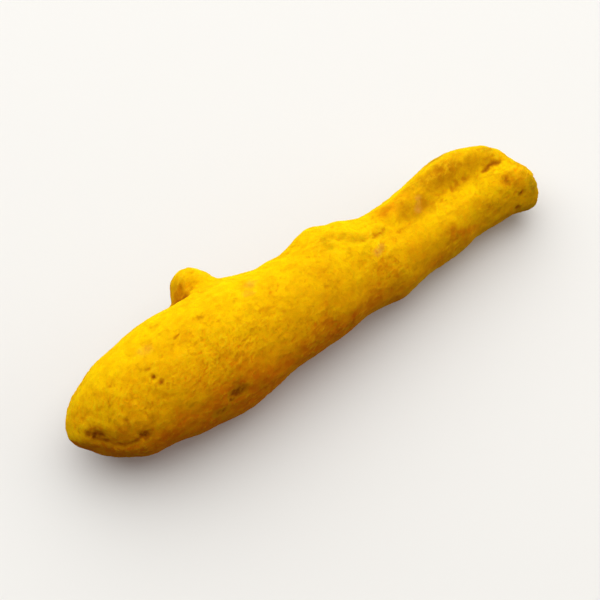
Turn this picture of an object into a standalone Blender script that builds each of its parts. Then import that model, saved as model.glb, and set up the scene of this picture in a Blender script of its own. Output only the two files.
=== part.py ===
"""A dried turmeric finger, coated in its own powder, lying on a flat surface.

Frame: metres, +Z up, +X along the finger from its blunt growing tip to its
flared broken end. Z = 0 is the surface it lies on. The whole root is one
solid: it grew as one piece, with one small side bud on its far side.
"""
import math

import bmesh
import bpy
import numpy as np

MM = 0.001

# ---------------------------------------------------------------- dimensions
TIP_X = -37.5  # mm, the blunt growing tip
END_X = 39.4  # mm, the broken end, where it joined the mother rhizome

# Four radii describe each cross-section, at these bearings round the finger's
# own axis. 0 degrees is +Y, 90 degrees is straight up.
BEARINGS = {"far": 30.0, "top": 120.0, "near": 210.0, "under": 300.0}

#            x     axis_y axis_z   far   top   near  under      (all mm)
STATIONS = [
    (TIP_X,        -1.2,   6.3,    0.0,  0.0,  0.0,  0.0),
    (-36.2,        -1.2,   6.7,    3.1,  3.0,  2.8,  2.8),
    (-34.2,        -1.3,   7.1,    4.8,  4.8,  4.8,  4.6),
    (-30.4,        -1.7,   7.5,    6.9,  6.8,  7.1,  6.6),
    (-26.0,        -1.6,   7.8,    7.8,  7.8,  7.9,  7.5),
    (-20.5,        -1.5,   8.0,    8.4,  8.4,  8.4,  8.1),
    (-14.5,        -1.4,   8.1,    8.7,  8.4,  8.8,  8.3),
    (-9.8,         -1.0,   8.1,    8.3,  8.0,  8.3,  8.0),
    (-5.0,         -0.8,   8.0,    7.4,  7.5,  7.5,  7.6),
    (-0.6,         -0.6,   7.8,    7.0,  7.4,  7.2,  7.2),
    (4.4,          -0.2,   7.6,    7.8,  7.3,  6.9,  6.9),
    (7.2,           0.2,   7.4,    7.7,  6.8,  6.5,  6.6),
    (10.6,          0.4,   7.1,    6.5,  6.4,  6.5,  6.2),
    (13.8,          0.5,   6.9,    5.9,  6.2,  6.8,  5.9),
    (18.6,          1.2,   6.6,    6.0,  5.9,  6.2,  5.8),
    (23.7,          2.1,   6.2,    6.4,  5.8,  6.3,  5.9),
    (28.8,          3.0,   5.9,    6.6,  5.7,  6.1,  6.1),
    (33.4,          3.1,   5.8,    5.9,  5.6,  6.0,  6.0),
    (36.2,          2.4,   5.8,    4.9,  5.2,  5.5,  5.4),
    (38.3,          1.3,   5.7,    3.2,  4.1,  4.3,  4.2),
    (END_X,         0.4,   5.7,    0.0,  0.0,  0.0,  0.0),
]

# Local swellings (+) and hollows (-) on the body:
# name: (x, bearing, half length, half width in degrees, height)   mm, degrees
FEATURES = {
    "lengthwise_valley": (26.5, 99.0, 8.0, 17.0, -1.25),
    "valley_mouth": (35.6, 92.0, 2.8, 15.0, -0.55),
    "valley_far_ridge": (29.0, 60.0, 6.0, 16.0, 0.35),
    "neck_dimple": (16.2, 92.0, 2.6, 16.0, -0.45),
    "shoulder_knob": (5.2, 45.0, 3.4, 26.0, 0.45),
    "near_hollow": (-13.0, 186.0, 3.0, 14.0, -0.45),
    "broken_end_lip": (37.6, 205.0, 1.3, 30.0, 0.30),
    "tip_scar": (-34.6, 185.0, 1.8, 36.0, -0.55),
    "tip_brow": (-31.6, 165.0, 2.0, 34.0, 0.30),
    "under_swelling": (2.0, 262.0, 5.0, 24.0, 0.25),
    "under_hollow": (13.0, 280.0, 5.0, 30.0, -0.50),
    "back_swelling": (-26.0, 345.0, 4.0, 22.0, 0.35),
    "back_hollow": (-3.0, 350.0, 4.0, 24.0, -0.45),
    "back_scar": (20.0, 352.0, 2.4, 18.0, -0.40),
}

# The side bud, a short fat knob that leans back towards the tip.
BUD_FOOT = (-10.9, 4.6, 9.7)  # mm, inside the body
BUD_HEAD = (-12.9, 8.1, 10.4)  # mm, the middle of its round head
BUD_FOOT_RADIUS = 2.7
BUD_HEAD_RADIUS = 3.1

LUMP_SIZE = 5.5  # mm, the size of the soft lumps all over the skin
LUMP_HEIGHT = 0.55  # mm, from hollow to crest
VOXEL = 0.55  # mm
TRIANGLE_SHARE = 0.17  # of the fine skin, kept in the finished solid

RINGS = 120
SIDES = 72


# ---------------------------------------------------------------- geometry
def hermite(xs, ys, x):
    """A smooth curve through (xs, ys) that never overshoots its points."""
    xs, ys = np.asarray(xs, float), np.asarray(ys, float)
    h = np.diff(xs)
    slope = np.diff(ys) / h
    m = np.zeros(len(xs))
    m[0], m[-1] = slope[0], slope[-1]
    for i in range(1, len(xs) - 1):
        if slope[i - 1] * slope[i] > 0:
            w1, w2 = 2 * h[i] + h[i - 1], h[i] + 2 * h[i - 1]
            m[i] = (w1 + w2) / (w1 / slope[i - 1] + w2 / slope[i])
    i = np.clip(np.searchsorted(xs, x) - 1, 0, len(h) - 1)
    t = (x - xs[i]) / h[i]
    return (
        (2 * t**3 - 3 * t**2 + 1) * ys[i]
        + (t**3 - 2 * t**2 + t) * h[i] * m[i]
        + (-2 * t**3 + 3 * t**2) * ys[i + 1]
        + (t**3 - t**2) * h[i] * m[i + 1]
    )


def section(x):
    """Axis point and the four squared radii at x, all in mm."""
    table = np.array(STATIONS)
    y = hermite(table[:, 0], table[:, 1], x)
    z = hermite(table[:, 0], table[:, 2], x)
    # squared radii make both ends round instead of pointed
    r2 = [hermite(table[:, 0], table[:, k] ** 2, x) for k in (3, 4, 5, 6)]
    return y, z, r2


def radius(x, bearing, r2):
    """The body's radius at x and a bearing in degrees."""
    total = 0.0
    for value, at in zip(r2, BEARINGS.values()):
        share = max(0.0, math.cos(math.radians(bearing - at))) ** 2
        total += share * math.sqrt(max(value, 0.0))
    body = min(1.0, total / 4.0)
    for fx, fb, half_x, half_b, height in FEATURES.values():
        turn = (bearing - fb + 180.0) % 360.0 - 180.0
        reach = ((x - fx) / half_x) ** 2 + (turn / half_b) ** 2
        if reach < 12.0:
            total += body * height * math.exp(-reach)
    return total


def add_object(name, bm, collection):
    mesh = bpy.data.meshes.new(name)
    bmesh.ops.recalc_face_normals(bm, faces=bm.faces)
    bm.to_mesh(mesh)
    bm.free()
    obj = bpy.data.objects.new(name, mesh)
    collection.objects.link(obj)
    return obj


def make_body(collection):
    """A loft through unlike sections, closed by a point at each end."""
    bm = bmesh.new()
    # rings crowd towards both ends, where the root rounds off
    turns = (np.arange(1, RINGS) / RINGS) * math.pi
    xs = TIP_X + (END_X - TIP_X) * (0.5 - 0.5 * np.cos(turns))
    rings = []
    for x in xs:
        y, z, r2 = section(x)
        ring = []
        for k in range(SIDES):
            bearing = 360.0 * k / SIDES
            r = radius(x, bearing, r2)
            a = math.radians(bearing)
            ring.append(
                bm.verts.new((x * MM, (y + r * math.cos(a)) * MM, (z + r * math.sin(a)) * MM))
            )
        rings.append(ring)
    for first, second in zip(rings, rings[1:]):
        for k in range(SIDES):
            n = (k + 1) % SIDES
            bm.faces.new((first[k], first[n], second[n], second[k]))
    for x, ring in ((TIP_X, rings[0]), (END_X, rings[-1])):
        y, z, _ = section(x)
        pole = bm.verts.new((x * MM, y * MM, z * MM))
        for k in range(SIDES):
            bm.faces.new((ring[k], ring[(k + 1) % SIDES], pole))
    return add_object("turmeric_root", bm, collection)


def make_bud(collection):
    """The side bud: a capsule that is a little fatter at its head."""
    curve = bpy.data.curves.new("bud_shape", "CURVE")
    curve.dimensions = "3D"
    curve.bevel_depth = 1.0 * MM
    curve.bevel_resolution = 8
    curve.use_fill_caps = True
    foot, head = np.array(BUD_FOOT), np.array(BUD_HEAD)
    along = (head - foot) / np.linalg.norm(head - foot)
    points = [(foot, BUD_FOOT_RADIUS), ((foot + head) / 2, (BUD_FOOT_RADIUS + BUD_HEAD_RADIUS) / 2)]
    for degrees in range(0, 90, 9):  # the round head
        a = math.radians(degrees)
        points.append((head + along * BUD_HEAD_RADIUS * math.sin(a), BUD_HEAD_RADIUS * math.cos(a)))
    spline = curve.splines.new("POLY")
    spline.points.add(len(points) - 1)
    for point, (at, r) in zip(spline.points, points):
        point.co = (*(at * MM), 1.0)
        point.radius = r
    guide = bpy.data.objects.new("bud_guide", curve)
    collection.objects.link(guide)
    bpy.context.view_layer.update()
    graph = bpy.context.evaluated_depsgraph_get()
    mesh = bpy.data.meshes.new_from_object(guide.evaluated_get(graph))
    bm = bmesh.new()
    bm.from_mesh(mesh)
    bmesh.ops.remove_doubles(bm, verts=bm.verts, dist=0.00001)
    bpy.data.meshes.remove(mesh)
    bpy.data.objects.remove(guide)
    return add_object("side_bud_form", bm, collection)


def helper(obj):
    obj.hide_render = True
    obj.display_type = "WIRE"
    return obj


def skin():
    material = bpy.data.materials.new("turmeric_skin")
    material.use_nodes = True
    shader = material.node_tree.nodes["Principled BSDF"]
    shader.inputs["Base Color"].default_value = (0.80, 0.46, 0.012, 1.0)
    shader.inputs["Roughness"].default_value = 0.92
    shader.inputs["Metallic"].default_value = 0.0
    return material


def main():
    for obj in list(bpy.data.objects):
        bpy.data.objects.remove(obj, do_unlink=True)
    root_parts = bpy.data.collections.new("turmeric")
    helpers = bpy.data.collections.new("helpers")
    bpy.context.scene.collection.children.link(root_parts)
    bpy.context.scene.collection.children.link(helpers)

    root = make_body(root_parts)
    bud = helper(make_bud(helpers))

    bm = bmesh.new()
    bmesh.ops.create_cube(bm, size=1.0)
    bmesh.ops.scale(bm, vec=(0.2, 0.2, 0.02), verts=bm.verts)
    bmesh.ops.translate(bm, vec=(0.0, 0.0, -0.01), verts=bm.verts)
    surface = helper(add_object("surface_below", bm, helpers))

    join = root.modifiers.new("grow_bud", "BOOLEAN")
    join.operation = "UNION"
    join.solver = "EXACT"
    join.object = bud

    remesh = root.modifiers.new("one_skin", "REMESH")
    remesh.mode = "VOXEL"
    remesh.voxel_size = VOXEL * MM
    remesh.use_smooth_shade = True

    smooth = root.modifiers.new("soften", "SMOOTH")
    smooth.factor = 0.5
    smooth.iterations = 8

    lumps = bpy.data.textures.new("soft_lumps", "CLOUDS")
    lumps.noise_scale = LUMP_SIZE * MM
    lumps.noise_depth = 1
    displace = root.modifiers.new("lumps", "DISPLACE")
    displace.texture = lumps
    displace.texture_coords = "LOCAL"
    displace.mid_level = 0.5
    displace.strength = LUMP_HEIGHT * MM

    thin = root.modifiers.new("fewer_triangles", "DECIMATE")
    thin.ratio = TRIANGLE_SHARE
    thin.use_collapse_triangulate = True

    rest = root.modifiers.new("rest_on_surface", "BOOLEAN")
    rest.operation = "DIFFERENCE"
    rest.solver = "EXACT"
    rest.object = surface

    root.data.materials.append(skin())
    root.data.shade_smooth()

    # the frame's origin is under the middle of the finished root
    bud.parent = root
    bpy.context.view_layer.update()
    finished = root.evaluated_get(bpy.context.evaluated_depsgraph_get())
    corners = np.array([tuple(c) for c in finished.bound_box])
    middle = (corners.min(axis=0) + corners.max(axis=0)) / 2
    root.location = (-middle[0], -middle[1], 0.0)


main()
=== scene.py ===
"""Looks of a dried turmeric finger: the fine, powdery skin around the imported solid.

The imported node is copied, remeshed finely and relaxed, and its skin is then worked
point by point: low lumps, drying wrinkles, pits, the fold across the blunt tip, the
crease round the side bud and the cracks of the broken end are all real geometry.
What is finer than the mesh, the powder's grain, is in the material.
"""

import math

import bmesh
import bpy
import numpy as np
from mathutils import Matrix, Vector
from mathutils.bvhtree import BVHTree
from mathutils.kdtree import KDTree


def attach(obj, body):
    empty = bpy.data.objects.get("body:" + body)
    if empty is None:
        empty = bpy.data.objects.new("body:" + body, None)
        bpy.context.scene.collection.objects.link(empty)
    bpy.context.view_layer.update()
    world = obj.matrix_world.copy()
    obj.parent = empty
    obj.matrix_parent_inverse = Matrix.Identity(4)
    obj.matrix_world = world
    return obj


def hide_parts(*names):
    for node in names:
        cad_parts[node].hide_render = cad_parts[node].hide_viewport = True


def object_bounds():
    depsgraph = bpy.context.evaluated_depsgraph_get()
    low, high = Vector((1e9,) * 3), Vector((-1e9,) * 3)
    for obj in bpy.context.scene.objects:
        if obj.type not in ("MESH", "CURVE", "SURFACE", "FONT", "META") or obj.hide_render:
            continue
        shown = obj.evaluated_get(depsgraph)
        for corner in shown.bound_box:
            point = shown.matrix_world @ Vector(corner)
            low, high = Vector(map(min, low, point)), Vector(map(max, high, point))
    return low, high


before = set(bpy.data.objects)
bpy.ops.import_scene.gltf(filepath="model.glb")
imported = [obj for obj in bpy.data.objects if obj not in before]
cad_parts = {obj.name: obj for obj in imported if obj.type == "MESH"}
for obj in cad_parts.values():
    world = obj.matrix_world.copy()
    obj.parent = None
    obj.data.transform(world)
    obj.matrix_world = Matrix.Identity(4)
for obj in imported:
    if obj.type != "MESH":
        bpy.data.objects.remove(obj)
cad_low, cad_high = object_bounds()

MM = 0.001
NODE = "turmeric_root"
VOXEL = 0.238          # fine mesh, mm
RELAX = 34             # smoothing passes that melt the solid's facets away
CALM_BELOW = 0.7       # mm above the surface it lies on, where the relief fades out

# The finger's centre line, mm: x, y, z
AXIS = np.array([
    (-38.5, -1.7, 6.3), (-37.2, -1.7, 6.7), (-35.2, -1.8, 7.1), (-31.4, -2.2, 7.5),
    (-27.0, -2.1, 7.8), (-21.5, -2.0, 8.0), (-15.5, -1.9, 8.1), (-10.8, -1.5, 8.1),
    (-6.0, -1.3, 8.0), (-1.6, -1.1, 7.8), (3.4, -0.7, 7.6), (6.2, -0.3, 7.4),
    (9.6, -0.1, 7.1), (12.8, 0.0, 6.9), (17.6, 0.7, 6.6), (22.7, 1.6, 6.2),
    (27.8, 2.5, 5.9), (32.4, 2.6, 5.8), (35.2, 1.9, 5.8), (37.3, 0.8, 5.7),
    (38.4, -0.1, 5.7),
])


# ---------------------------------------------------------------- noise

def gradients(seed):
    rng = np.random.default_rng(seed)
    g = rng.normal(size=(256, 3))
    return g / np.linalg.norm(g, axis=1)[:, None], rng.permutation(256)


def noise(p, seed):
    """Smooth gradient noise, about -1 to 1, with features about 1 unit wide."""
    g, perm = gradients(seed)
    base = np.floor(p).astype(np.int64)
    f = p - base
    w = f * f * f * (f * (f * 6 - 15) + 10)
    out = np.zeros(len(p))
    for dx in (0, 1):
        for dy in (0, 1):
            for dz in (0, 1):
                c = base + (dx, dy, dz)
                h = perm[(perm[(perm[c[:, 0] & 255] + c[:, 1]) & 255] + c[:, 2]) & 255]
                d = f - (dx, dy, dz)
                k = (w[:, 0] if dx else 1 - w[:, 0]) * (w[:, 1] if dy else 1 - w[:, 1]) * (w[:, 2] if dz else 1 - w[:, 2])
                out += k * (g[h] * d).sum(1)
    return out * 1.6


def fbm(p, seed, octaves=3, gain=0.5):
    total, size, reach = np.zeros(len(p)), 1.0, 0.0
    for k in range(octaves):
        total += size * noise(p * 2.03 ** k, seed + 17 * k)
        reach += size
        size *= gain
    return total / reach


def ridged(p, seed, octaves=2, gain=0.55):
    """Sharp crests where the noise crosses zero: 0 in the flats, 1 on a crest."""
    total, size, reach = np.zeros(len(p)), 1.0, 0.0
    for k in range(octaves):
        total += size * (1 - np.minimum(1, np.abs(noise(p * 2.1 ** k, seed + 31 * k)) * 2.2))
        reach += size
        size *= gain
    return total / reach


def step(x, lo, hi):
    t = np.clip((x - lo) / (hi - lo), 0, 1)
    return t * t * (3 - 2 * t)


def bump(d, width):
    return np.exp(-(d / width) ** 2)


# ---------------------------------------------------------------- the fine mesh

def fine_copy():
    """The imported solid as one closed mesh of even, small quads."""
    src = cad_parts[NODE]
    me = src.data.copy()
    me.transform(src.matrix_world)
    bm = bmesh.new()
    bm.from_mesh(me)
    bmesh.ops.remove_doubles(bm, verts=bm.verts, dist=1e-6)
    bm.to_mesh(me)
    bm.free()
    me.materials.clear()
    ob = bpy.data.objects.new("turmeric_finger", me)
    bpy.context.scene.collection.objects.link(ob)
    mod = ob.modifiers.new("even_quads", "REMESH")
    mod.mode, mod.voxel_size, mod.adaptivity = "VOXEL", VOXEL * MM, 0.0
    mod = ob.modifiers.new("relax", "SMOOTH")
    mod.factor, mod.iterations = 0.5, RELAX
    dg = bpy.context.evaluated_depsgraph_get()
    done = bpy.data.meshes.new_from_object(ob.evaluated_get(dg))
    ob.modifiers.clear()
    old, ob.data = ob.data, done
    bpy.data.meshes.remove(old)
    done.name = "turmeric_finger"
    return ob


def read(me):
    co = np.empty(len(me.vertices) * 3, np.float32)
    me.vertices.foreach_get("co", co)
    no = np.empty(len(me.vertices) * 3, np.float32)
    me.vertex_normals.foreach_get("vector", no)
    return co.reshape(-1, 3).astype(float) / MM, no.reshape(-1, 3).astype(float)


def write(me, p):
    me.vertices.foreach_set("co", (p * MM).astype(np.float32).ravel())
    me.update()


def edges_of(me):
    e = np.empty(len(me.edges) * 2, np.int32)
    me.edges.foreach_get("vertices", e)
    return e.reshape(-1, 2)


def spread(values, edges, passes, factor=0.5):
    """Averages a value over neighbours, passes times."""
    v = values.astype(float).copy()
    flat = v.ndim == 1
    n = len(v)
    count = np.bincount(edges.ravel(), minlength=n).astype(float)
    for _ in range(passes):
        if flat:
            s = np.bincount(edges[:, 0], v[edges[:, 1]], n) + np.bincount(edges[:, 1], v[edges[:, 0]], n)
            v += factor * (s / count - v)
        else:
            for k in range(v.shape[1]):
                s = np.bincount(edges[:, 0], v[edges[:, 1], k], n) + np.bincount(edges[:, 1], v[edges[:, 0], k], n)
                v[:, k] += factor * (s / count - v[:, k])
    return v


finger = fine_copy()
mesh = finger.data
P, N = read(mesh)
EDGES = edges_of(mesh)
COUNT = len(P)
P0 = P.copy()          # the skin before any relief
TREE = BVHTree.FromPolygons([tuple(c) for c in P], [tuple(q.vertices) for q in mesh.polygons])


def axis_at(x):
    return np.stack([x, np.interp(x, AXIS[:, 0], AXIS[:, 1]), np.interp(x, AXIS[:, 0], AXIS[:, 2])], -1)


def near_turn(p, x, bearing, half_length, half_turn):
    """1 around this place on the finger, fading out along it and round it."""
    c = axis_at(p[:, 0])
    b = np.degrees(np.arctan2(p[:, 2] - c[:, 2], p[:, 1] - c[:, 1]))
    return bump(p[:, 0] - x, half_length) * bump(np.abs((b - bearing + 180) % 360 - 180), half_turn)


# the near edge of the trough in the flared end is rounded over
P += (near_turn(P, 21.5, 108, 11.0, 26) * 0.95)[:, None] * (spread(P, EDGES, 170) - P)
write(mesh, P)
P, N = read(mesh)

CENTRE = axis_at(P[:, 0])
OUT = P - CENTRE
BEARING = np.degrees(np.arctan2(OUT[:, 2], OUT[:, 1]))     # 0 towards +Y, 90 up
AROUND = np.radians(BEARING)
RADIUS = np.hypot(OUT[:, 1], OUT[:, 2])


def on_skin(x, bearing):
    """The skin point at this x, in the direction bearing from the centre line."""
    start = axis_at(np.array([x]))[0]
    b = math.radians(bearing)
    # from outside inwards, so that the side bud doesn't hide the finger's own skin
    far = Vector(start) + Vector((0, math.cos(b), math.sin(b))) * 30
    hit = TREE.ray_cast(far, Vector((0, -math.cos(b), -math.sin(b))))
    if hit[0] is None:
        hit = TREE.find_nearest(Vector(start))
    return np.array(hit[0])


def at(stop):
    """The skin point that a stop names: (x, bearing), or a point (x, y, z) close to the skin."""
    return np.array(TREE.find_nearest(Vector(stop))[0]) if len(stop) == 3 else on_skin(*stop)


def path(stops, every=0.12):
    """Skin points along a run of stops."""
    out = []
    for a, b in zip(stops[:-1], stops[1:]):
        n = max(2, int(np.linalg.norm(at(b) - at(a)) / every))
        for t in np.linspace(0, 1, n, endpoint=False):
            out.append(at([p + (q - p) * t for p, q in zip(a, b)]))
    out.append(at(stops[-1]))
    return np.array(out)


# a point's place, shaken a little, so that no edge is a clean circle
WARP = np.stack([fbm(P / 1.1, 5, 2), fbm(P / 1.1, 6, 2), fbm(P / 1.1, 7, 2)], -1)
SWAY = np.stack([fbm(P / 2.6, 8, 2), fbm(P / 2.6, 9, 2), fbm(P / 2.6, 10, 2)], -1)
FRAY = np.stack([noise(P / 0.55, 12), noise(P / 0.55, 13), noise(P / 0.55, 14)], -1)
WARPED = P + 0.17 * WARP + 0.20 * SWAY + 0.07 * FRAY
PATCHY = 0.5 + 0.5 * fbm(P / 1.3, 15, 2)
STAIN = fbm(P / 0.62, 16, 3)


def far_from(points):
    """Each point's distance to the nearest of these, and which of them it is."""
    best = np.full(COUNT, 1e9)
    which = np.zeros(COUNT, int)
    for k, c in enumerate(np.atleast_2d(points)):
        d = ((WARPED - c) ** 2).sum(1)
        near = d < best
        best[near], which[near] = d[near], k
    return np.sqrt(best), which


# ---------------------------------------------------------------- relief

height = np.zeros(COUNT)                # outwards along the normal, mm
masks = {k: np.zeros(COUNT) for k in ("dark", "olive", "orange", "tan", "worn", "mottle", "moss", "dust_and_highlight")}


def add_mask(name, value):
    masks[name] = np.maximum(masks[name], np.clip(value, 0, 1))


def turn(bearing):
    """How far round the finger each point is from this bearing, in degrees."""
    return np.abs((BEARING - bearing + 180) % 360 - 180)


def broad(x, bearing, half_length, half_turn, amount):
    """A broad swelling or hollow of the finger."""
    global height
    height += amount * bump(P[:, 0] - x, half_length) * bump(turn(bearing), half_turn)


def stroke(stops, width, depth, dark, mask="dark", ends=0.5):
    """A soft, ragged groove along stops, narrowing at its ends, and its darker floor."""
    global height
    line = path(stops)
    d, k = far_from(line)
    t = k / max(1, len(line) - 1)
    taper = 1 - (1 - ends) * np.abs(2 * t - 1) ** 2
    w = width * taper * (1 + 0.45 * fbm(P / 0.8, 71, 2))
    deep = depth * taper * (0.55 + 0.75 * PATCHY)
    height += deep * (-0.85 * bump(d, w) - 0.25 * bump(d, 2.4 * w) + 0.16 * bump(d - 2.1 * w, 0.9 * w))
    add_mask(mask, dark * (0.5 + 0.6 * PATCHY) * (0.75 * bump(d, 0.85 * w) + 0.30 * bump(d, 2.2 * w)))
    return d, k, line


def dent(x, bearing, width, depth, dark=0.0, mask="dark", long=1.0):
    """A soft dent in the skin, wider or longer along the finger."""
    global height
    o = (WARPED - on_skin(x, bearing)) / (long, 1.0, 1.0)
    d = np.sqrt((o ** 2).sum(1))
    w = width * (1 + 0.35 * fbm(P / 0.7, 73, 2))
    height += depth * (-0.85 * bump(d, w) - 0.25 * bump(d, 2.2 * w) + 0.14 * bump(d - 2.0 * w, 0.8 * w))
    if dark:
        add_mask(mask, dark * (0.80 * bump(d, 0.8 * w) + 0.30 * bump(d, 2.0 * w)))


def patch(x, bearing, width, amount, mask, long=1.0, ragged=0.5):
    """A patch of colour with a ragged, faded edge."""
    o = (P + 0.5 * SWAY - on_skin(x, bearing)) / (long, 1.0, 1.0)
    d = np.sqrt((o ** 2).sum(1)) / width
    add_mask(mask, amount * (1 - step(d + ragged * fbm(P / 1.3, 79, 3), 0.25, 1.30)))


def smudge_at(c, width, amount, long=1.0):
    """A messy brown stain with a ragged, broken edge, and the rough skin in it."""
    global height
    o = (P + 0.28 * WARP + 0.22 * SWAY - c) / (long, 1.0, 1.0)
    d = np.sqrt((o ** 2).sum(1)) / width
    inside = 1 - step(d + 0.55 * STAIN, 0.15, 1.45)
    add_mask("dark", amount * inside * np.clip(0.62 + 0.80 * STAIN, 0, 1.1))
    height -= 0.09 * amount * inside * (0.6 + 1.3 * STAIN)


def smudge(x, bearing, width, amount, long=1.0):
    smudge_at(on_skin(x, bearing), width, amount, long)


# A: shallow lumps and the broad facets of a root that shrank as it dried
height += 0.15 * fbm(P / (7.5, 5.0, 5.0), 11, 2)
height += 0.125 * fbm(P / (3.4, 2.6, 2.6), 23, 2)
height += 0.040 * fbm(P / (1.9, 1.5, 1.5), 29, 2)

# the flared end: a trough along its top between a far rim and a near ridge
broad(23.5, 96, 8.0, 16, -0.42)
broad(32.0, 96, 3.5, 12, -0.20)
broad(25.5, 62, 7.5, 14, 0.34)
broad(22.5, 143, 7.5, 20, 0.36)
broad(31.0, 138, 3.0, 16, 0.14)
broad(2.5, 152, 6.0, 16, 0.22)
broad(12.5, 93, 2.6, 16, -0.20)

# small corrections of the outline: slimmer by the tip, the waist and the far corner
broad(-33.3, 22, 2.2, 30, -0.40)
broad(-32.0, 208, 2.4, 30, -0.45)
broad(-5.2, 34, 1.6, 24, -0.34)
broad(6.8, 34, 1.3, 22, -0.44)
broad(11.9, 207, 1.8, 26, 0.16)
broad(-15.6, 210, 2.2, 26, 0.18)
broad(-26.3, 210, 2.4, 26, -0.40)
broad(-22.5, 26, 2.8, 24, 0.17)
broad(-37.4, 190, 1.3, 40, -0.22)
broad(35.2, 60, 1.2, 22, -0.18)
broad(37.3, 68, 1.3, 22, -0.62)
height -= 0.45 * bump(np.linalg.norm(P - (-16.6, 9.0, 12.0), axis=1), 2.2)

# B: long drying wrinkles along the finger, leaning a little across it
lean = P[:, 0] * 0.20
U = np.stack([P[:, 0] / 6.0, (P[:, 1] - lean) / 1.5, P[:, 2] / 1.5], -1)
wrinkled = step(fbm(P / 9.0, 41, 2), -0.25, 0.35)
height += 0.070 * fbm(U, 37, 2) * (0.35 + 0.65 * wrinkled)

# C: the fine net of wrinkles on the fat part's upper side and in other patches
net_here = bump(P[:, 0] + 16.5, 10.0) * bump(turn(124), 38)
net_here = np.maximum(net_here, 0.35 + 0.35 * step(fbm(P / 6.0, 43, 2), 0.0, 0.45))
V = np.stack([(P[:, 0] + 0.4 * P[:, 1]) / 2.3, (P[:, 1] - P[:, 0] * 0.42) / 0.82, (P[:, 2] + P[:, 0] * 0.14) / 0.82], -1)
net = ridged(V + 0.45 * WARP, 47, 2)
height += 0.185 * (net - 0.45) * net_here

# D: rough, mealy skin near the blunt tip and the broken end
mealy = np.maximum(bump(P[:, 0] + 32, 5.5) * bump(turn(132), 42), 0.6 * step(P[:, 0], 30, 36))
mealy = np.maximum(mealy, 0.5 * step(fbm(P / 7.0, 53, 2), 0.15, 0.5))
height += 0.085 * fbm(P / 0.95, 59, 2) * (0.55 + mealy)
add_mask("mottle", 0.9 * mealy)
add_mask("mottle", 0.8 * net_here)

# E: the faint rings where scale leaves once grew
for x, tilt, b0, reach in ((-23.5, 0.9, 300, 95), (-12.5, -0.7, 250, 80), (0.5, 0.8, 290, 85), (9.5, 0.6, 330, 70), (19.5, -0.6, 280, 80), (28.5, 0.7, 300, 60)):
    along = P[:, 0] - x - tilt * np.cos(AROUND) - 0.5 * fbm(P / 3.0, int(61 + x), 2)
    fade = 1 - step(turn(b0), reach * 0.55, reach)
    height += fade * (0.08 * bump(along - 0.55, 0.6) - 0.09 * bump(along, 0.35))

# the blunt tip: a shallow fold, a ragged brown scar at each end of it, and a low lip below
d, k, line = stroke([(-36.1, 149), (-35.2, 157), (-34.2, 163.5), (-33.0, 163), (-31.7, 159.5), (-30.9, 158)], 0.46, 0.13, 0.76, ends=0.9)
below = ((P - line[k]) * np.array((-0.30, -0.50, -0.80))).sum(1)
side = bump(np.maximum(0, d - 0.5), 1.6)
height += side * (0.10 * bump(below - 1.0, 0.75) - 0.10 * bump(below + 0.9, 0.8))
height += 0.10 * bump(below + 2.2, 1.0) * bump(np.maximum(0, d - 2.0), 1.2)
add_mask("orange", 0.85 * bump(below - 1.6, 1.1) * bump(np.maximum(0, d - 1.2), 1.5))
smudge(-35.8, 142.5, 1.35, 1.15, long=1.1)
smudge(-36.6, 133, 0.70, 0.90)
smudge(-35.2, 150, 0.70, 0.95)
smudge(-30.6, 157.5, 1.10, 1.30)
smudge(-31.4, 152, 0.55, 0.75)
smudge(-29.7, 158, 0.55, 0.80)
dent(-36.2, 146, 0.36, 0.19, 1.0, long=1.1)
dent(-36.7, 138, 0.26, 0.12, 0.80)
dent(-35.4, 147.5, 0.26, 0.14, 0.90)
dent(-35.6, 137, 0.24, 0.12, 0.80)
dent(-36.4, 130, 0.24, 0.09, 0.60)
dent(-35.1, 142, 0.22, 0.09, 0.65)
dent(-30.6, 158.5, 0.38, 0.18, 1.05)
dent(-31.2, 155, 0.26, 0.12, 0.85)
dent(-30.0, 155.5, 0.22, 0.09, 0.60)
# orange round the two scars; the third patch, under the tip, is partly painted shade
patch(-35.8, 147, 2.2, 1.0, "orange")
patch(-30.5, 157, 2.2, 0.95, "orange")
patch(-33.6, 172, 2.2, 0.95, "orange", long=1.5)
smudge(-32.1, 134, 0.75, 0.62, long=0.8)
smudge(-32.0, 141, 0.60, 0.50)
smudge(-28.9, 143, 0.80, 0.55)
smudge(-30.0, 146, 0.60, 0.50)
smudge(-30.8, 139, 0.50, 0.45)
smudge(-32.8, 108, 0.50, 0.40)
smudge(-30.0, 113, 0.50, 0.38)
smudge(-33.6, 124, 0.45, 0.38)
dent(-32.1, 134, 0.50, 0.12, 0.30, long=0.7)
dent(-28.9, 144, 0.50, 0.10, 0.30)

# single pits on the fat part
dent(-26.3, 107.5, 0.34, 0.22, 0.85, long=0.8)
dent(-26.6, 105, 0.24, 0.09, 0.45)
dent(-25.9, 116, 0.34, 0.14, 0.62, long=1.2)
dent(-26.7, 98, 0.32, 0.09, 0.42, long=1.5)
smudge(-25.6, 97, 0.45, 0.32)
smudge(-27.6, 95, 0.45, 0.32)
stroke([(-21.7, 87.5), (-20.7, 85)], 0.22, 0.09, 0.48)
smudge(-16.7, 82, 0.60, 0.48, long=1.3)
smudge(-15.0, 94, 0.45, 0.40, long=1.4)
smudge(-19.3, 96, 0.55, 0.34)
smudge(-18.1, 104, 0.50, 0.32)
smudge(-24.0, 92, 0.50, 0.28)
smudge(-23.7, 150, 0.70, 0.50)
dent(-23.7, 150, 0.42, 0.10, 0.32)
smudge(-15.5, 130, 0.60, 0.55, long=1.2)
smudge(-14.6, 132, 0.45, 0.50)
smudge(-21.9, 135, 0.55, 0.42)
smudge(-24.9, 126, 0.50, 0.36)
smudge(-11.6, 118, 0.55, 0.34, long=1.4)
smudge(-6.7, 118, 0.45, 0.45, long=1.4)
smudge(-5.2, 136, 0.55, 0.42, long=1.4)
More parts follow.
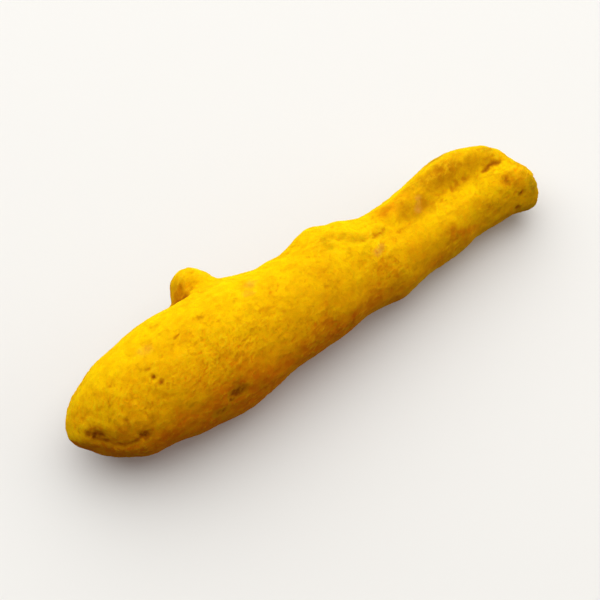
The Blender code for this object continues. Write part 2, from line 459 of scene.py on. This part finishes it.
smudge(1.0, 117, 0.60, 0.42, long=1.4)
smudge(1.6, 124, 0.55, 0.42, long=1.3)
smudge(-2.5, 128, 0.50, 0.34)
smudge(-7.7, 70, 0.40, 0.30)
for x, b, w in ((4.6, 71, 0.75), (3.8, 81, 0.55), (8.4, 88, 0.60), (6.3, 79, 0.50)):
    dent(x, b, w, 0.13, 0.0, long=1.6)
    patch(x, b, w * 1.7, 0.55, "olive", long=1.8, ragged=0.7)
    smudge(x, b, w * 0.8, 0.30, long=1.6)
dent(1.9, 183, 0.60, 0.14, 0.38, long=1.5)

# the brown hollow low on the near side, and the flatter one beyond it
patch(-17.2, 164, 2.6, 1.0, "orange", long=1.5)
patch(-20.0, 175, 2.6, 0.9, "orange", long=1.5)
height -= 0.30 * bump(np.linalg.norm((P - on_skin(-17.1, 163.5)) / (1.5, 1, 1), axis=1), 1.0)
smudge(-17.0, 163.5, 1.10, 1.28, long=1.6)
smudge(-16.0, 160, 0.55, 1.0, long=1.3)
smudge(-18.1, 167.5, 0.60, 1.2, long=1.2)
patch(-16.6, 161.5, 0.65, 0.55, "moss", long=1.3, ragged=0.7)
smudge(-19.9, 175, 1.05, 0.90, long=1.5)
smudge(-18.9, 172, 0.50, 0.50, long=1.4)
height -= 0.14 * bump(np.linalg.norm((P - on_skin(-19.8, 175)) / (1.5, 1, 1), axis=1), 0.9)
patch(-1.8, 159, 2.4, 0.80, "orange", long=1.6)
patch(-4.7, 172, 2.4, 0.85, "orange", long=1.8)
patch(6.5, 176, 2.0, 0.55, "orange", long=1.8)
smudge(-0.8, 162, 0.60, 0.40, long=1.6)
smudge(-4.0, 170, 0.60, 0.42, long=1.6)

# the neck, and the trough in the flared end
stroke([(10.6, 95), (11.5, 92.5), (12.2, 91.5)], 0.42, 0.19, 0.56)
stroke([(12.5, 90.5), (13.3, 87.5)], 0.38, 0.12, 0.40)
patch(12.0, 92, 1.2, 0.45, "olive", long=1.8)
patch(19.5, 88, 2.2, 0.90, "worn", long=1.8)
patch(25.0, 74, 2.4, 1.0, "worn", long=2.8)
patch(30.5, 80, 2.0, 0.80, "worn", long=2.0)
patch(28.0, 92, 1.6, 0.60, "worn", long=2.4)
patch(26.9, 36, 1.3, 0.75, "moss", long=1.9)
patch(37.0, 149, 1.4, 0.65, "moss")
patch(33.6, 66, 1.0, 0.50, "moss", long=1.5)
smudge(25.0, 68, 0.80, 0.58, long=1.4)
dent(25.0, 68, 0.55, 0.10, 0.22, long=1.4)
dent(25.6, 96, 0.40, 0.17, 0.50)
dent(26.6, 94, 0.34, 0.14, 0.46)
dent(25.3, 99, 0.26, 0.08, 0.32)
dent(28.0, 95.5, 0.34, 0.14, 0.48, long=1.6)
smudge(26.0, 97, 0.80, 0.45, long=1.3)
smudge(15.6, 65, 0.60, 0.40, long=1.3)
smudge(17.6, 72, 0.55, 0.32)
patch(15.6, 65, 1.6, 0.75, "orange", long=1.7)
patch(18.5, 60, 1.3, 0.50, "orange", long=1.8)
patch(22.4, 156, 1.8, 0.80, "orange", long=1.6)
patch(24.3, 167, 2.0, 0.80, "orange", long=1.7)
smudge(22.5, 156, 0.60, 0.45)
smudge(24.1, 166, 0.60, 0.42)
smudge(20.6, 160, 0.50, 0.40)
smudge(19.0, 168, 0.60, 0.45, long=1.4)
smudge(9.0, 168, 0.70, 0.42, long=1.6)
smudge(3.5, 172, 0.60, 0.36, long=1.6)

# the broken end: a diagonal crack in two runs, pits and a rough, darker face
stroke([(30.9, 99.5), (31.6, 97.8), (32.2, 96.2)], 0.34, 0.20, 0.80, ends=0.6)
stroke([(32.3, 95.2), (33.1, 92.4), (34.2, 92.0)], 0.38, 0.24, 0.92, ends=0.5)
smudge(33.0, 128, 1.10, 0.66)
dent(33.0, 128, 0.80, 0.13, 0.30)
smudge(34.0, 140, 1.3, 0.36)
smudge(34.4, 156.5, 0.65, 0.95)
dent(34.5, 157, 0.42, 0.15, 0.75)
smudge(33.6, 181.5, 0.70, 0.95)
dent(33.6, 181, 0.44, 0.16, 0.75)
smudge(30.3, 168, 0.70, 0.45, long=1.3)
smudge(28.4, 140, 0.50, 0.30)
smudge(29.2, 152, 0.50, 0.35)
patch(30.2, 168, 1.8, 0.6, "orange", long=1.5)
patch(33.4, 135, 2.2, 0.35, "orange")
on_end = step(P[:, 0], 34.4, 37.2)
add_mask("olive", 0.75 * on_end * step(fbm(P / 2.2, 83, 2), -0.55, 0.25))
height += on_end * (0.10 * ridged(P / 1.9, 89, 2) - 0.05)

# the broken face itself: short cracks that run out from its middle, and pits between them
for a, b in (((38.2, 0.2, 6.6), (37.8, -2.2, 8.6)), ((38.3, 0.6, 5.6), (37.9, 2.8, 7.6)), ((38.2, -0.6, 5.2), (37.8, -3.0, 3.8)), ((38.1, 1.4, 4.4), (37.6, 3.0, 3.0))):
    middle = tuple((p + q) / 2 + o for p, q, o in zip(a, b, (0.0, 0.35, -0.25)))
    stroke([a, middle, b], 0.30, 0.20, 0.70, ends=0.4)
for c, w in (((38.2, -1.9, 6.4), 0.36), ((38.1, 2.2, 5.6), 0.34), ((38.0, 0.4, 3.6), 0.32), ((37.9, 1.0, 8.4), 0.34), ((38.3, -0.2, 6.0), 0.42)):
    c = at(c)
    smudge_at(c, 1.7 * w, 0.85)
    height -= 0.17 * bump(np.sqrt(((WARPED - c) ** 2).sum(1)), w)

# the side bud: the crease round its foot, a dark wedge in it, and the fold that splits the bud
# painted shade, partly the crease's own brown: the concave skin round the bud's foot is darkened
curved = spread(P, EDGES, 14)
sunken = ((curved - P) * N).sum(1)                # above 0 where the skin is concave
near_bud = bump(np.linalg.norm(P - (-14.6, 6.2, 11.0), axis=1), 4.4)
foot = near_bud * step(sunken, 0.025, 0.09)
height -= 0.14 * foot
add_mask("dark", 0.50 * foot)
stroke([(-17.8, 6.0, 11.3), (-17.2, 5.9, 11.8), (-16.5, 5.5, 12.6), (-15.9, 5.4, 13.0)], 0.58, 0.34, 1.06, ends=0.9)
stroke([(-16.2, 5.8, 12.6), (-15.9, 6.2, 12.6), (-15.6, 6.7, 12.8), (-15.4, 7.2, 12.9)], 0.46, 0.18, 0.48, ends=0.5)
smudge_at((-14.6, 5.9, 13.0), 0.50, 0.55)
# orange at the bud's foot; painted shade: olive on the bud's left face, which turns away from the light
add_mask("orange", 0.9 * bump(np.linalg.norm(P + 0.3 * SWAY - (-16.3, 6.6, 12.2), axis=1), 1.8))
add_mask("olive", 0.8 * bump(np.linalg.norm(P + 0.3 * SWAY - (-16.9, 7.4, 11.8), axis=1), 1.7))
height += 0.16 * bump(np.linalg.norm(P - (-13.4, 7.3, 13.2), axis=1), 1.5)
height += 0.10 * bump(np.linalg.norm(P - (-15.1, 6.0, 12.9), axis=1), 0.5)
height += 0.32 * bump(np.linalg.norm(P - (-11.8, 7.0, 12.7), axis=1), 1.4)

# the pink-tan scars where the powder is rubbed thin
patch(-25.2, 79, 0.9, 0.40, "tan", long=1.5, ragged=0.9)
patch(-8.2, 72, 0.8, 0.50, "tan", long=1.2, ragged=0.8)
patch(-9.2, 83, 0.7, 0.40, "tan", long=1.2, ragged=0.8)
for t in np.linspace(0, 1, 5):
    patch(9.7 + 1.6 * t, 114.5 - 5 * t, 0.52, 0.85 - 0.1 * t, "tan", long=1.2, ragged=0.6)
patch(20.2, 79, 0.50, 0.75, "tan", long=1.3, ragged=0.6)
patch(19.8, 86, 0.50, 0.65, "tan", long=1.2, ragged=0.7)
patch(19.4, 92, 0.60, 0.75, "tan", long=1.3, ragged=0.6)
patch(6.0, 300, 1.2, 0.50, "tan", long=1.6, ragged=0.8)
patch(-21.0, 20, 1.0, 0.50, "tan", long=1.6, ragged=0.8)
patch(27.0, 250, 1.0, 0.45, "tan", long=1.4, ragged=0.8)

# marks on the sides that the main view doesn't show
stroke([(-30.5, 345), (-28.0, 352), (-26.2, 350)], 0.34, 0.22, 0.62)
stroke([(-8.0, 318), (-5.6, 322), (-3.4, 319)], 0.32, 0.18, 0.55)
stroke([(16.0, 5), (18.6, 10), (20.2, 6)], 0.30, 0.18, 0.55)
stroke([(29.6, 320), (31.8, 314)], 0.30, 0.16, 0.55)
stroke([(3.0, 214), (5.2, 219)], 0.30, 0.16, 0.50)
for x, b, w, amount in ((-33.0, 30, 0.8, 0.75), (-20.4, 340, 0.7, 0.7), (-0.6, 20, 0.7, 0.55), (12.4, 330, 0.6, 0.6), (24.4, 20, 0.6, 0.6),
                        (33.5, 20, 0.8, 0.7), (-27.5, 215, 0.7, 0.6), (20.6, 205, 0.6, 0.5), (36.4, 290, 0.7, 0.7), (-12.0, 280, 0.8, 0.5)):
    smudge(x, b, w, amount, long=1.3)
    dent(x, b, 0.6 * w, 0.14, 0.5 * amount)
patch(-30.0, 330, 3.2, 0.7, "orange", long=1.6)
patch(2.0, 330, 2.6, 0.7, "orange", long=1.8)
patch(-10.0, 215, 2.8, 0.6, "orange", long=2.0)
patch(22.0, 330, 2.4, 0.6, "olive", long=1.8)
patch(-17.0, 5, 2.6, 0.50, "olive", long=1.6)
patch(14.0, 215, 2.0, 0.55, "orange", long=2.0)

# the powder lies thickest on the upper far side and hides the flecks there; as that side faces the key light, this is
# partly a painted highlight
add_mask("dust_and_highlight", bump(turn(58), 46) * (0.62 + 0.5 * fbm(P / 6.0, 103, 2)) * (1 - 0.7 * step(P[:, 0], 10, 17)))

# paler, cleaner powder on the near top of the blunt tip and along the near ridge of the flared end
add_mask("dust_and_highlight", 0.55 * near_turn(P, -35.0, 112, 2.6, 30))
add_mask("dust_and_highlight", 0.75 * near_turn(P, 22.5, 122, 8.5, 26) * (0.75 + 0.4 * fbm(P / 4.0, 107, 2)))

# painted shade: the skin is painted more orange low on the sides and underneath, where shade falls, and less so
# towards the flared end
far = step(P[:, 0] + 8.0 * fbm(P / 6.0, 109, 3), -12, 42)
low = 1 - step(turn(238), 60 - 6 * far, 155 - 38 * far)
add_mask("orange", low * (1 - 0.35 * far) * (0.92 + 0.25 * fbm(P / 3.5, 101, 3)))
# more orange over the fat part, its own colour, fading out by the waist; round the tip's end, with the top left out,
# the extra orange is painted shade
add_mask("orange", (0.28 + 0.16 * (1 - step(P[:, 0], -36, -29))) * (1 - step(P[:, 0] + 5.0 * fbm(P / 6.0, 111, 2), -30, -8)) * (1 - bump(turn(58), 36) * step(P[:, 0], -37, -31)) * (0.8 + 0.5 * fbm(P / 3.0, 105, 2)))

# F: scattered small pores, in clusters
rng = np.random.default_rng(20)
crowd = step(fbm(P / 5.0, 97, 3), 0.0, 0.5)
weight = 0.05 + crowd + 0.9 * mealy + 0.4 * bump(P[:, 0] + 24, 7) * bump(turn(105), 30)
weight *= step(P[:, 2], 0.3, 1.0)
weight /= weight.sum()
kd = KDTree(COUNT)
for i, c in enumerate(WARPED):
    kd.insert(c, i)
kd.balance()
placed = []
for i in rng.choice(COUNT, 900, replace=False, p=weight):
    c = P[i]
    if placed and ((np.array(placed) - c) ** 2).sum(1).min() < 0.95 ** 2:
        continue
    placed.append(c)
    r = 0.26 + 0.30 * rng.random() ** 2
    depth = 0.02 + 0.06 * rng.random() ** 2
    dark = 0.04 + 0.20 * rng.random() ** 2
    slant = np.array((1.0, 0.42, 0.0)) + 0.5 * rng.normal(size=3)
    slant /= np.linalg.norm(slant)
    longer = 1.2 + 1.8 * rng.random()
    near = [j for _, j, _ in kd.find_range(Vector(c), 2.6 * r * longer)]
    o = WARPED[near] - c
    along = o @ slant
    d = np.sqrt(np.maximum(0, (o ** 2).sum(1) - along ** 2 * (1 - 1 / longer ** 2)))
    height[near] -= depth * bump(d, r)
    masks["dark"][near] = np.maximum(masks["dark"][near], dark * bump(d, r))

# the relief fades out where the finger touches the surface it lies on
calm = step(P[:, 2], 0.05, CALM_BELOW)
height = np.where(height > 0, height * calm, height * (0.25 + 0.75 * calm))
P = P + N * height[:, None]
lowest = P[:, 2].min()
P[:, 2] -= lowest * bump(P[:, 2] - lowest, 1.2)
# no point goes below the surface, nor more than a hair past the solid's own box
P = np.clip(P, np.array(cad_low) / MM - (0.25, 0.25, 0.0), np.array(cad_high) / MM + 0.25)
write(mesh, P)

# how far each point lies below its neighbourhood, at two sizes: from these the material paints shade into the dips
# and hollows and a highlight onto the crests
P, N = read(mesh)
small = ((spread(P, EDGES, 5) - P) * N).sum(1)
wide = ((spread(P, EDGES, 60) - P) * N).sum(1)
wide -= np.median(wide)
masks["hollow"] = np.clip(0.5 + 6.0 * small, 0, 1)
masks["dip"] = np.clip(0.5 + 1.6 * wide, 0, 1)
for name, value in masks.items():
    layer = mesh.attributes.new(name, "FLOAT", "POINT")
    layer.data.foreach_set("value", value.astype(np.float32))
mesh.shade_smooth()
finger.name = "turmeric_finger"


# ---------------------------------------------------------------- the powdery skin

class Nodes:
    """A small helper that lays a node tree out in code."""

    def __init__(self, name):
        self.mat = bpy.data.materials.new(name)
        self.mat.use_nodes = True
        self.tree = self.mat.node_tree
        self.shader = self.tree.nodes["Principled BSDF"]

    def add(self, kind, **fields):
        n = self.tree.nodes.new(kind)
        for k, v in fields.items():
            setattr(n, k, v)
        return n

    def put(self, value, socket):
        if isinstance(value, (int, float, tuple)):
            socket.default_value = value
        else:
            self.tree.links.new(value, socket)

    def attribute(self, name):
        return self.add("ShaderNodeAttribute", attribute_name=name).outputs["Fac"]

    def math(self, op, a, b=None, c=None, clamp=False):
        n = self.add("ShaderNodeMath", operation=op, use_clamp=clamp)
        for v, s in zip((a, b, c), n.inputs):
            if v is not None:
                self.put(v, s)
        return n.outputs[0]

    def noise(self, at, scale, detail=3.0, rough=0.5, twist=0.0):
        n = self.add("ShaderNodeTexNoise", noise_dimensions="3D")
        self.put(at, n.inputs["Vector"])
        n.inputs["Scale"].default_value = scale
        n.inputs["Detail"].default_value = detail
        n.inputs["Roughness"].default_value = rough
        n.inputs["Distortion"].default_value = twist
        return n.outputs["Fac"]

    def ramp(self, v, lo, hi, a=0.0, b=1.0):
        n = self.add("ShaderNodeMapRange", interpolation_type="SMOOTHSTEP")
        self.put(v, n.inputs["Value"])
        n.inputs["From Min"].default_value = lo
        n.inputs["From Max"].default_value = hi
        n.inputs["To Min"].default_value = a
        n.inputs["To Max"].default_value = b
        return n.outputs["Result"]

    def mix(self, fac, a, b, kind="MIX"):
        n = self.add("ShaderNodeMix", data_type="RGBA", blend_type=kind)
        self.put(fac, n.inputs["Factor"])
        self.put(a, [s for s in n.inputs if s.name == "A" and s.type == "RGBA"][0])
        self.put(b, [s for s in n.inputs if s.name == "B" and s.type == "RGBA"][0])
        return [s for s in n.outputs if s.type == "RGBA"][0]


def rgb(r, g, b):
    """A linear colour from display values of 0 to 255."""
    def one(v):
        v /= 255
        return v / 12.92 if v <= 0.04045 else ((v + 0.055) / 1.055) ** 2.4
    return (one(r), one(g), one(b), 1.0)


BRIGHT = rgb(253, 212, 0)
PLAIN = rgb(250, 200, 0)
ORANGE = rgb(231, 144, 0)
SHADE = rgb(215, 147, 2)
EMBER = rgb(216, 112, 2)
RUST = rgb(188, 110, 2)
BROWN = rgb(156, 79, 3)
DEEP = rgb(114, 46, 4)
OLIVE = rgb(196, 146, 3)
MOSS = rgb(142, 112, 16)
WORN = rgb(207, 144, 0)
TAN = rgb(228, 163, 58)
CREST_HIGHLIGHT = rgb(254, 214, 30)


def skin():
    n = Nodes("turmeric_powder_skin")
    co = n.add("ShaderNodeTexCoord").outputs["Object"]
    mm = n.add("ShaderNodeVectorMath", operation="SCALE")
    n.put(co, mm.inputs[0])
    mm.inputs["Scale"].default_value = 1000.0
    here = mm.outputs[0]
    lie = n.add("ShaderNodeMapping", vector_type="POINT")
    n.put(here, lie.inputs["Vector"])
    lie.inputs["Rotation"].default_value = (0.0, math.radians(-6), math.radians(-20))
    lie.inputs["Scale"].default_value = (0.30, 1.0, 1.0)
    long = lie.outputs[0]

    dark, orange, olive = n.attribute("dark"), n.attribute("orange"), n.attribute("olive")
    tan, worn, mottle = n.attribute("tan"), n.attribute("worn"), n.attribute("mottle")
    hollow, dip = n.attribute("hollow"), n.attribute("dip")
    moss, dust_and_highlight = n.attribute("moss"), n.attribute("dust_and_highlight")

    big = n.noise(here, 0.17, 3, 0.55, 0.3)
    mid = n.noise(here, 0.62, 4, 0.6, 0.4)
    fine = n.noise(here, 1.45, 2.2, 0.50, 0.4)
    grain = n.noise(here, 6.0, 3, 0.6)
    streak = n.noise(long, 1.25, 2.5, 0.55, 0.5)
    where = n.noise(here, 0.33, 3, 0.6)

    # thick bright powder, thinner in broad patches, brighter still under the dust mask, partly a painted highlight on
    # the side facing the key light
    powder = n.math("ADD", n.math("MULTIPLY", n.ramp(big, 0.38, 0.62), 0.45), n.math("MULTIPLY", n.ramp(mid, 0.36, 0.64), 0.55))
    powder = n.math("ADD", powder, n.math("MULTIPLY", dust_and_highlight, 0.4), clamp=True)
    colour = n.mix(powder, PLAIN, BRIGHT)

    # orange root skin showing through in soft random areas; painted shade: more orange in the small dips, the wider
    # hollows, and low on the sides from the orange mask
    thin_and_shaded = n.math("ADD", n.math("MULTIPLY", n.ramp(where, 0.46, 0.72), 0.36), n.math("MULTIPLY", n.ramp(hollow, 0.52, 0.80), 0.48))
    thin_and_shaded = n.math("ADD", thin_and_shaded, n.math("MULTIPLY", n.ramp(dip, 0.55, 0.95), 0.25))
    thin_and_shaded = n.math("MULTIPLY", thin_and_shaded, n.math("SUBTRACT", 1.0, n.math("MULTIPLY", dust_and_highlight, 0.6)))
    thin_and_shaded = n.math("ADD", thin_and_shaded, n.math("MULTIPLY", orange, n.ramp(mid, 0.28, 0.64, 0.62, 0.92)), clamp=True)
    colour = n.mix(thin_and_shaded, colour, ORANGE)

    # deeper red-orange where the orange mask is strong: its patches, and the painted shade low on the sides and
    # underneath
    colour = n.mix(n.math("MULTIPLY", n.ramp(orange, 0.58, 0.97), n.ramp(mid, 0.28, 0.64, 0.62, 0.95)), colour, EMBER)

    # worn and greenish patches
    colour = n.mix(n.math("MULTIPLY", worn, n.ramp(mid, 0.30, 0.60, 0.45, 1.0)), colour, WORN)
    colour = n.mix(n.math("MULTIPLY", olive, n.ramp(mid, 0.35, 0.60, 0.4, 1.0)), colour, OLIVE)

    colour = n.mix(n.math("MULTIPLY", moss, n.ramp(fine, 0.36, 0.60, 0.35, 0.85)), colour, MOSS)

    # pinkish scars
    colour = n.mix(n.math("MULTIPLY", tan, n.ramp(fine, 0.30, 0.62, 0.40, 0.95)), colour, TAN)

    # flecks: fine orange-brown specks in crowds, and along the wrinkles
    crowd = n.ramp(n.noise(here, 0.28, 4, 0.65), 0.42, 0.66, 0.25, 0.80)
    crowd = n.math("ADD", crowd, n.math("MULTIPLY", mottle, 0.7), clamp=True)
    fleck = n.math("MULTIPLY", n.ramp(fine, 0.53, 0.70), crowd)
    bare = n.math("SUBTRACT", 1.0, n.math("MULTIPLY", dust_and_highlight, 0.75))
    colour = n.mix(n.math("MULTIPLY", n.math("MULTIPLY", fleck, 0.64), bare), colour, SHADE)
    line = n.math("MULTIPLY", n.ramp(streak, 0.53, 0.68), n.ramp(big, 0.40, 0.58, 0.3, 1.0))
    colour = n.mix(n.math("MULTIPLY", n.math("MULTIPLY", line, 0.38), bare), colour, SHADE)

    # painted highlight: the crests, standing above their neighbourhood, are painted paler yellow in grainy bits
    crest = n.math("MULTIPLY", n.ramp(hollow, 0.46, 0.22), n.ramp(grain, 0.40, 0.65, 0.3, 1.0))
    colour = n.mix(n.math("MULTIPLY", crest, 0.50), colour, CREST_HIGHLIGHT)

    # dents, pits and creases: a soft tan edge, rust, brown inside, deepest at the bottom
    uneven = n.math("ADD", dark, n.math("MULTIPLY", n.math("SUBTRACT", fine, 0.5), 0.40))
    colour = n.mix(n.math("MULTIPLY", n.ramp(uneven, 0.06, 0.34), 0.80), colour, SHADE)
    colour = n.mix(n.math("MULTIPLY", n.ramp(uneven, 0.30, 0.60), 0.85), colour, RUST)
    colour = n.mix(n.math("MULTIPLY", n.ramp(uneven, 0.52, 0.84), 0.88), colour, BROWN)
    colour = n.mix(n.math("MULTIPLY", n.ramp(uneven, 0.82, 1.10), 0.75), colour, DEEP)

    # grain of the powder itself
    patchy = n.ramp(n.noise(here, 0.72, 2.5, 0.55, 0.5), 0.62, 0.34, 0.0, 0.80)
    colour = n.mix(patchy, colour, (0.89, 0.82, 0.70, 1.0), kind="MULTIPLY")
    tone = n.ramp(grain, 0.30, 0.70, 0.98, 1.05)
    shade = n.add("ShaderNodeVectorMath", operation="SCALE")
    n.put(colour, shade.inputs[0])
    n.put(tone, shade.inputs["Scale"])
    colour = shade.outputs[0]

    s = n.shader
    n.put(colour, s.inputs["Base Color"])
    n.put(n.ramp(fine, 0.3, 0.7, 0.88, 0.98), s.inputs["Roughness"])
    s.inputs["Diffuse Roughness"].default_value = 1.0
    s.inputs["Specular IOR Level"].default_value = 0.05
    s.inputs["IOR"].default_value = 1.45
    s.inputs["Subsurface Weight"].default_value = 0.30
    s.inputs["Subsurface Radius"].default_value = (1.0, 0.22, 0.05)
    s.inputs["Subsurface Scale"].default_value = 2.8 * MM

    # grain finer than the mesh
    rise = n.math("ADD", n.math("MULTIPLY", fine, 0.9), n.math("MULTIPLY", grain, 0.30))
    rise = n.math("ADD", rise, n.math("MULTIPLY", streak, 0.35))
    b = n.add("ShaderNodeBump")
    b.inputs["Strength"].default_value = 0.58
    b.inputs["Distance"].default_value = 0.14 * MM
    n.put(rise, b.inputs["Height"])
    n.put(b.outputs["Normal"], s.inputs["Normal"])
    return n.mat


mesh.materials.append(skin())
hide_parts(NODE)
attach(finger, "root")


# ---------------------------------------------------------------- the studio

def floor():
    bpy.ops.mesh.primitive_plane_add(size=24.0, location=(0, 0, 0))
    ob = bpy.context.object
    ob.name = "studio_floor"
    n = Nodes("studio_floor")
    n.shader.inputs["Base Color"].default_value = (0.74, 0.735, 0.72, 1)
    n.shader.inputs["Roughness"].default_value = 0.9
    n.shader.inputs["Specular IOR Level"].default_value = 0.1
    n.shader.inputs["Emission Color"].default_value = (1.0, 0.99, 0.975, 1)
    n.shader.inputs["Emission Strength"].default_value = 0.07
    ob.data.materials.append(n.mat)
    ob.visible_diffuse = False      # the pale floor doesn't light the root from below


def lamp(name, direction, distance, size, power, colour):
    data = bpy.data.lights.new(name, "AREA")
    data.shape, data.size, data.energy, data.color = "DISK", size, power, colour
    ob = bpy.data.objects.new(name, data)
    bpy.context.scene.collection.objects.link(ob)
    d = Vector(direction).normalized()
    ob.location = d * distance
    ob.rotation_mode = "QUATERNION"
    ob.rotation_quaternion = (-d).to_track_quat("-Z", "Y")
    ob.visible_camera = False


def camera():
    azimuth, elevation, distance = math.radians(-33.0), math.radians(57.0), 0.3083
    back = Vector((math.sin(azimuth) * math.cos(elevation), -math.cos(azimuth) * math.cos(elevation), math.sin(elevation)))
    data = bpy.data.cameras.new("camera")
    data.lens, data.sensor_width = 135.0, 36.0
    data.clip_start, data.clip_end = 0.01, 10.0
    ob = bpy.data.objects.new("camera", data)
    bpy.context.scene.collection.objects.link(ob)
    ob.rotation_mode = "QUATERNION"
    ob.location = Vector((-0.001082, -0.000363, 0.007056)) + back * distance
    ob.rotation_quaternion = (-back).to_track_quat("-Z", "Y")
    bpy.context.scene.camera = ob


def studio_world():
    """A weak pale sky, and below the floor a deep orange glow, as root lights root in a heap."""
    world = bpy.data.worlds.new("studio")
    bpy.context.scene.world = world
    world.use_nodes = True
    t = world.node_tree
    glow = t.nodes["Background"]
    out = t.nodes["World Output"]
    co = t.nodes.new("ShaderNodeTexCoord")
    part = t.nodes.new("ShaderNodeSeparateXYZ")
    t.links.new(co.outputs["Generated"], part.inputs[0])
    up = t.nodes.new("ShaderNodeMapRange")
    up.inputs["From Min"].default_value, up.inputs["From Max"].default_value = -0.16, 0.02
    t.links.new(part.outputs["Z"], up.inputs["Value"])
    mix = t.nodes.new("ShaderNodeMix")
    mix.data_type = "RGBA"
    t.links.new(up.outputs[0], mix.inputs["Factor"])
    mix.inputs[6].default_value = (*LOW_GLOW, 1)
    mix.inputs[7].default_value = (*SKY_GLOW, 1)
    # light that has already left the root once is plain, so that the floor isn't tinted
    path = t.nodes.new("ShaderNodeLightPath")
    later = t.nodes.new("ShaderNodeMath")
    later.operation = "GREATER_THAN"
    later.inputs[1].default_value = 1.5
    t.links.new(path.outputs["Ray Depth"], later.inputs[0])
    calm = t.nodes.new("ShaderNodeMix")
    calm.data_type = "RGBA"
    t.links.new(later.outputs[0], calm.inputs["Factor"])
    t.links.new(mix.outputs[2], calm.inputs[6])
    calm.inputs[7].default_value = (0.16, 0.16, 0.16, 1)
    t.links.new(calm.outputs[2], glow.inputs["Color"])
    glow.inputs["Strength"].default_value = 1.0
    plain = t.nodes.new("ShaderNodeBackground")
    plain.inputs["Color"].default_value = (0.86, 0.86, 0.85, 1)
    seen = t.nodes.new("ShaderNodeLightPath")
    pick = t.nodes.new("ShaderNodeMixShader")
    t.links.new(seen.outputs["Is Camera Ray"], pick.inputs[0])
    t.links.new(glow.outputs[0], pick.inputs[1])
    t.links.new(plain.outputs[0], pick.inputs[2])
    t.links.new(pick.outputs[0], out.inputs["Surface"])


SKY_GLOW = (0.26, 0.250, 0.236)
LOW_GLOW = (0.40, 0.095, 0.010)
floor()
studio_world()
lamp("key", (0.12, 0.42, 0.88), 0.60, 1.50, 9.55, (1.0, 0.985, 0.96))
lamp("card", (0.90, -0.40, 0.22), 0.60, 0.60, 1.22, (1.0, 0.96, 0.89))
camera()
bpy.context.scene.view_settings.view_transform = "Standard"
